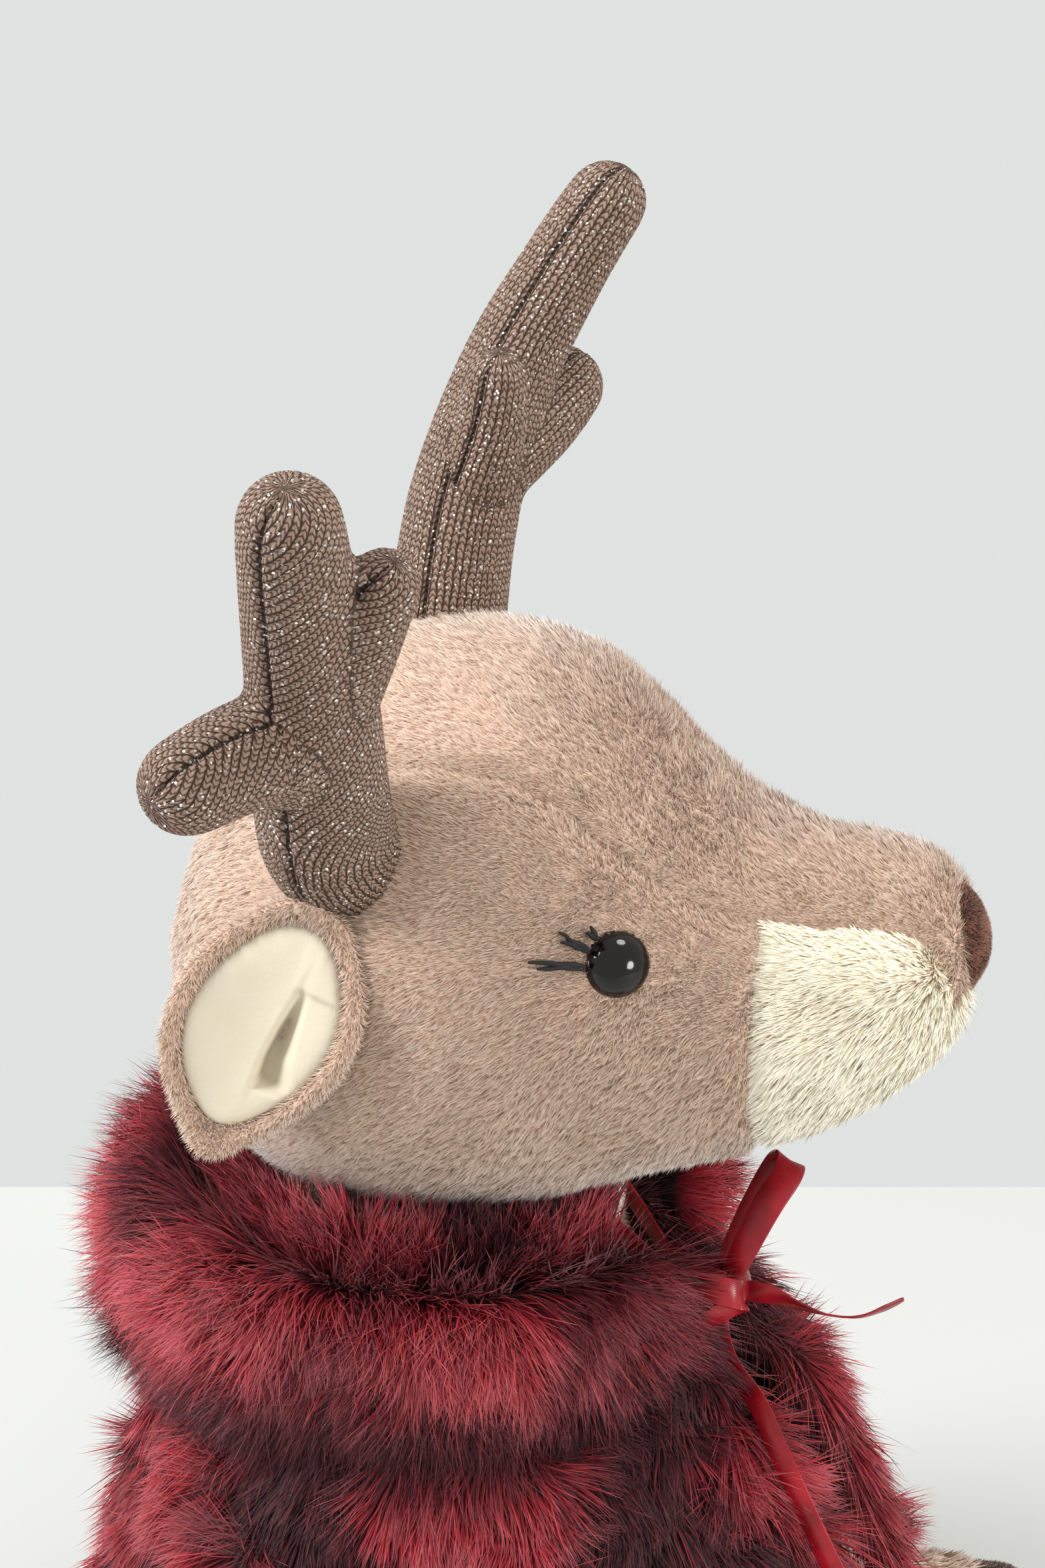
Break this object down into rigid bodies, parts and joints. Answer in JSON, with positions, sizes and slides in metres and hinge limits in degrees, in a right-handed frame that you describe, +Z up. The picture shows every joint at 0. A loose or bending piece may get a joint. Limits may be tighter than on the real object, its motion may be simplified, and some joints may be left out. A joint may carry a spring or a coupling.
{
  "type": "seated plush deer",
  "caption": "Seated plush deer with knit antlers, glossy eyes, lined ears and a high-collared fur cape tied at the throat with a ribbon bow.",
  "frame": {"origin": "middle of the flat seat, on the surface the deer sits on, straight below the middle of the neck", "axes": "+Z up along the torso, -Y the way the deer faces, +X its left side"},
  "size_m": [0.2035, 0.2516, 0.4212],
  "materials": {
    "tan_plush": "short warm tan plush pile with a reddish brown ground",
    "cream_plush": "short cream plush pile with faint yellow patches",
    "hoof_suede": "dark brown short pile",
    "nose_velvet": "brown velvet, slightly worn",
    "eye_plastic": "polished black safety eye",
    "washer_plastic": "plain moulded lock washer",
    "lash_thread": "black embroidery thread",
    "antler_knit": "dark brown rib knit with fine metallic yarn",
    "polyester_filling": "loose white fibre filling",
    "pellet_sack": "plain woven sack of pellets",
    "cape_fur": "long red faux fur with dark and grey tips",
    "satin_ribbon": "narrow red satin with picot edges"
  },
  "bodies": {
    "torso": {"torso_cover": "tan_plush", "torso_stuffing": "polyester_filling", "pellet_bag": "pellet_sack", "chest_panel": "cream_plush", "cape_body": "cape_fur", "cape_collar": "cape_fur", "collar_frill": "cape_fur", "ribbon_band": "satin_ribbon", "ribbon_knot": "satin_ribbon", "ribbon_loop_up": "satin_ribbon", "ribbon_loop_side": "satin_ribbon", "ribbon_tail_side": "satin_ribbon", "ribbon_tail_down": "satin_ribbon"},
    "neck": {"neck_core": "polyester_filling", "throat_panel": "cream_plush"},
    "head": {"head_panel_right": "tan_plush", "head_panel_left": "tan_plush", "head_gusset": "tan_plush", "muzzle_panel_right": "cream_plush", "muzzle_panel_left": "cream_plush", "head_stuffing": "polyester_filling", "nose": "nose_velvet", "eye_right": "eye_plastic", "eye_left": "eye_plastic", "eye_washer_right": "washer_plastic", "eye_washer_left": "washer_plastic", "lash1_right": "lash_thread", "lash1_left": "lash_thread", "lash2_right": "lash_thread", "lash2_left": "lash_thread", "lash3_right": "lash_thread", "lash3_left": "lash_thread", "antler_right": "antler_knit", "antler_left": "antler_knit"},
    "ear_right": {"ear_right": "tan_plush", "ear_lining_right": "cream_plush"},
    "ear_left": {"ear_left": "tan_plush", "ear_lining_left": "cream_plush"},
    "arm_right": {"front_leg_right": "tan_plush", "front_hoof_right": "hoof_suede"},
    "arm_left": {"front_leg_left": "tan_plush", "front_hoof_left": "hoof_suede"},
    "leg_right": {"hind_leg_right": "tan_plush", "hind_hoof_right": "hoof_suede"},
    "leg_left": {"hind_leg_left": "tan_plush", "hind_hoof_left": "hoof_suede"},
    "tail": {"tail": "tan_plush"}
  },
  "joints": [
    {"name": "head_turn", "type": "hinge", "parent": "torso", "child": "neck", "pos_m": [0, -0.006, 0.19], "axis": [0, 0, 1], "range_deg": [-15, 15]},
    {"name": "head_nod", "type": "hinge", "parent": "neck", "child": "head", "pos_m": [0, -0.004, 0.265], "axis": [1, 0, 0], "range_deg": [-5, 5], "stiffness_Nm_per_rad": 1.5},
    {"name": "ear_lift_right", "type": "hinge", "parent": "head", "child": "ear_right", "pos_m": [-0.06353, 0.0085, 0.29803], "axis": [-0.0058, 0.9526, 0.3042], "range_deg": [0, 25], "stiffness_Nm_per_rad": 0.05},
    {"name": "ear_lift_left", "type": "hinge", "parent": "head", "child": "ear_left", "pos_m": [0.06353, 0.0085, 0.29803], "axis": [-0.0058, -0.9526, -0.3042], "range_deg": [0, 25], "stiffness_Nm_per_rad": 0.05},
    {"name": "arm_swing_right", "type": "hinge", "parent": "torso", "child": "arm_right", "pos_m": [-0.036, -0.05, 0.146], "axis": [-1, 0, 0], "range_deg": [0, 8]},
    {"name": "arm_swing_left", "type": "hinge", "parent": "torso", "child": "arm_left", "pos_m": [0.036, -0.05, 0.146], "axis": [-1, 0, 0], "range_deg": [0, 8]},
    {"name": "leg_spread_right", "type": "hinge", "parent": "torso", "child": "leg_right", "pos_m": [-0.061, -0.001, 0.021], "axis": [0, 0, -1], "range_deg": [0, 20]},
    {"name": "leg_spread_left", "type": "hinge", "parent": "torso", "child": "leg_left", "pos_m": [0.061, -0.001, 0.021], "axis": [0, 0, 1], "range_deg": [0, 20]},
    {"name": "tail_wag", "type": "hinge", "parent": "torso", "child": "tail", "pos_m": [0, 0.05859, 0.03], "axis": [0, 0, 1], "range_deg": [-15, 15], "stiffness_Nm_per_rad": 0.02}
  ]
}
